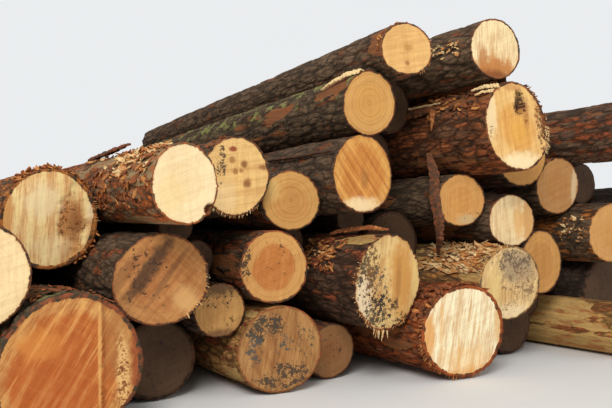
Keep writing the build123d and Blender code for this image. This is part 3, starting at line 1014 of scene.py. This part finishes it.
def bits_15(b):
    b.flakes(110, (118, 165), (0.13, 0.38), (0.018, 0.045), 0.012, (0.9, 2.3))
    b.strip(((108, 0.3, 0.004), (101, 0.2, 0.012), (96, 0.1, 0.016), (90, 0.01, 0.008)),
            (0.02, 0.045, 0.04, 0.012), 0.005, 1.3)
    b.strip(((99, 0.24, 0.002), (92, 0.15, 0.01), (86, 0.06, 0.006)), (0.012, 0.03, 0.01), 0.004, 1.8)
    b.splinters(14, (-124, -86), (0.006, 0.045), 0.85, 2.8, 0.01)
    b.splinters(44, (-130, -50), (0, 0.012), 0.8, 2.5, 0.006)
    b.splinters(20, (150, 235), (0, 0.006), 0.2, 2.6)


def bits_25(b):
    b.strip(((146, 0.48, 0.004), (148, 0.25, 0.006), (147, 0.02, 0.004)), (0.01, 0.013, 0.008), 0.01, 0.2)


def bits_39(b):
    b.strip(((146, 0.26, 0.002), (150, 0.4, 0.012), (151, 0.55, 0.014), (149, 0.78, 0.004)),
            (0.02, 0.05, 0.045, 0.012), 0.006, 0.5)
    b.strip(((139, 0.27, 0.004), (142, 0.4, 0.018), (143, 0.55, 0.02), (143, 0.74, 0.008)),
            (0.004, 0.01, 0.01, 0.003), 0.006, 2.9)
    b.strip(((150, 0.3, 0.004), (165, 0.285, 0.01), (178, 0.285, 0.008)), (0.04, 0.025, 0.003), 0.004, 1.5)
    b.strip(((120, -0.002, -0.01), (127, 0.05, 0.01), (133, 0.1, 0.018)), (0.036, 0.028, 0.005), 0.005, 3)
    b.strip(((130, 0, -0.01), (136, 0.04, 0.008), (141, 0.07, 0.012)), (0.026, 0.016, 0.004), 0.004, 2.8)
    b.flakes(90, (112, 165), (0.02, 0.34), (0.02, 0.06), 0.016, (0, 2))
    b.flakes(50, (10, 75), (-0.01, 0.02), (0.015, 0.04), 0.012, (0, 2.6))
    b.splinters(50, (-35, 5), (0.004, 0.034), 0.1, 2.9)
    b.flap(((97, 0.02, 0.004), (99, 0.15, 0.01), (98, 0.3, 0.01), (100, 0.45, 0.008), (99, 0.62, 0.006),
            (99, 0.9, 0.002)), (0.02, 0.044, 0.05, 0.044, 0.036, 0.01), 0.004, 0.3)
    b.flap(((104, 0.05, 0.002), (106, 0.18, 0.006), (104, 0.3, 0.004), (106, 0.42, 0)),
           (0.01, 0.03, 0.026, 0.008), 0.004, 1.2)
    hanging = [(0.262, -1.125, 0.958), (0.214, -1.212, 0.86), (0.208, -1.222, 0.76)]
    hanging += [(0.236, -1.222, 0.65), (0.26, -1.2, 0.57), (0.31, -1.135, 0.492)]
    facing = [unit(np.array([-0.6, -0.8, 0]))] * 6
    b.uneven_ribbon(hanging, facing, (0.022, 0.05, 0.042, 0.05, 0.034, 0.014), 0.005, 0.4)


def bits_33(b):
    b.strip(((110, -0.002, -0.006), (122, 0.05, 0.004), (134, 0.11, 0.008), (145, 0.18, 0.004)),
            (0.045, 0.04, 0.022, 0.003), 0.004, 2.9)


def bits_26(b):
    b.flakes(150, (95, 165), (-0.004, 0.32), (0.04, 0.11), 0.026, (1.8, 3), 0.35, 0.5)
    b.flakes(80, (95, 165), (-0.004, 0.32), (0.012, 0.035), 0.014, (0.8, 2.8))
    b.splinters(30, (95, 170), (0.002, 0.02), 0, 2.9)


def bits_42(b):
    b.flakes(30, (160, 190), (0.05, 0.2), (0.012, 0.034), 0.018, (2, 3))


def bits_41(b):
    b.flakes(20, (80, 190), (-0.003, 0.02), (0.012, 0.026), 0.008, (0.5, 2.2))
    b.splinters(30, (-60, 60), (0, 0.01), 0.1, 2.6)


def bits_06(b):
    b.flakes(110, (40, 175), (-0.012, 0.06), (0.02, 0.05), 0.014, (0.3, 1.6))
    b.splinters(70, (120, 300), (0, 0.014), 0.3, 1.9)


def bits_35(b):
    b.flakes(34, (150, 195), (0, 0.14), (0.015, 0.04), 0.016, (1.5, 2.9))


def bits_12(b):
    b.splinters(40, (-70, 20), (0, 0.01), 0.3, 2.5)


def bits_14(b):
    b.flakes(24, (110, 200), (-0.004, 0.02), (0.01, 0.025), 0.006, (0, 0.8))


def bits_02(b):
    b.flakes(90, (50, 120), (0, 0.35), (0.02, 0.05), 0.01, (0, 1.6))


LOOSE = {
    "02": bits_02, "06": bits_06, "12": bits_12, "14": bits_14, "15": bits_15, "16": bits_16,
    "21": bits_21, "22": bits_22, "25": bits_25, "26": bits_26, "33": bits_33, "35": bits_35,
    "39": bits_39, "41": bits_41, "42": bits_42,
}
# Logs that show much, and get a finer mesh
LARGE = "02 04 06 11 12 14 15 16 21 22 26 33 39 41 42".split()


def place_piece(name, mesh, node):
    piece = bpy.data.objects.new(name, mesh)
    bpy.context.scene.collection.objects.link(piece)
    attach(piece, "root")
    if node:
        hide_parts(node)


def build_log(node, seed):
    tail = node[-2:]
    if tail in LOOKS:
        look = full_look(LOOKS[tail])
        grid = LARGE_GRID if tail in LARGE else GRID
        materials = bark_material("bark_" + tail, look, seed), face_material("sawn_" + tail, look, seed)
    else:
        # Painted shade: a hidden log takes one of the darkened looks
        look = shade_darkened_look
        grid = BURIED_GRID
        materials = shade_darkened_barks[seed % 3], shade_darkened_faces[seed % 3]
    form = LogForm(node, grid[0])
    mesh = log_mesh("timber_" + tail, form, look, seed, grid[1], grid[2])
    for material in materials:
        mesh.materials.append(material)
    place_piece("timber_" + tail, mesh, node)
    if tail in LOOSE:
        bits = Bits(form, seed)
        LOOSE[tail](bits)
        loose = bits.finish("loose_bark_" + tail)
        loose.materials.append(loose_bark)
        place_piece("loose_bark_" + tail, loose, None)


loose_bark = loose_material("loose_bark")
# Three shared looks for the hidden logs, darkened as painted shade
shade_darkened_look = full_look(SHADE_DARKENED)
shade_darkened_barks = [bark_material(f"shade_darkened_bark_{i}", shade_darkened_look, 60 + i) for i in range(3)]
shade_darkened_faces = [face_material(f"shade_darkened_face_{i}", shade_darkened_look, 70 + i) for i in range(3)]
for number, node in enumerate(sorted(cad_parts)):
    build_log(node, number + 1)

# Floor
FLOOR_SIZE = 60
bpy.ops.mesh.primitive_plane_add(size=FLOOR_SIZE, location=(0, 0, 0))
floor = bpy.context.object
floor.name = "floor"
pale_floor = Shader(bpy.data.materials.new("pale_floor"))
floor.data.materials.append(pale_floor.finish(srgb("e2e1dd"), 0.9))
floor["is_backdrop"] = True

# Camera, placed left of the great butt and in front of it
LEFT_OF_BUTT = 0.64
BEFORE_ROW = 2.3
EYE_HEIGHT = 0.744
TURNED_RIGHT = 33.1
TILT = 89.69
LENS = 43.47
great_butt = LogForm("log_02", 8)
cam_data = bpy.data.cameras.new("camera")
cam_data.lens = LENS
cam = bpy.data.objects.new("camera", cam_data)
bpy.context.scene.collection.objects.link(cam)
cam.location = (great_butt.front[0] - LEFT_OF_BUTT, great_butt.butt - BEFORE_ROW, EYE_HEIGHT)
cam.rotation_euler = (math.radians(TILT), 0, -math.radians(TURNED_RIGHT))
bpy.context.scene.camera = cam

# Soft studio light, and a brighter backdrop for the camera
SKY_COLOUR = (0.96, 0.98, 1.0, 1)
SKY_LIGHT = 0.5
BACKDROP = 0.86
sky = Shader(bpy.data.worlds.new("studio"))
rays = sky.node("LightPath").outputs
mirrored = sky.math("MAXIMUM", rays["Is Glossy Ray"], rays["Is Transmission Ray"])
seen = sky.math("MAXIMUM", rays["Is Camera Ray"], mirrored)
strength = sky.plus(SKY_LIGHT, sky.times(seen, BACKDROP - SKY_LIGHT))
background = sky.fill(sky.node("Background"), {"Color": SKY_COLOUR, "Strength": strength})[0]
sky.fill(sky.node("OutputWorld"), {"Surface": background})
bpy.context.scene.world = sky.holder

LIT_PLACE = Vector((0.2, -0.8, 0.6))


def area_light(name, place, energy, width):
    data = bpy.data.lights.new(name, "AREA")
    data.energy = energy
    data.size = width
    lamp = bpy.data.objects.new(name, data)
    bpy.context.scene.collection.objects.link(lamp)
    lamp.location = place
    lamp.rotation_euler = (LIT_PLACE - Vector(place)).to_track_quat("-Z", "Y").to_euler()


area_light("key", (-4.2, -5.5, 5.2), energy=400, width=3)
area_light("fill", (5, -6, 3), energy=90, width=5)

bpy.context.scene.view_settings.view_transform = "Standard"
size["shown"] = [list(corner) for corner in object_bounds()]
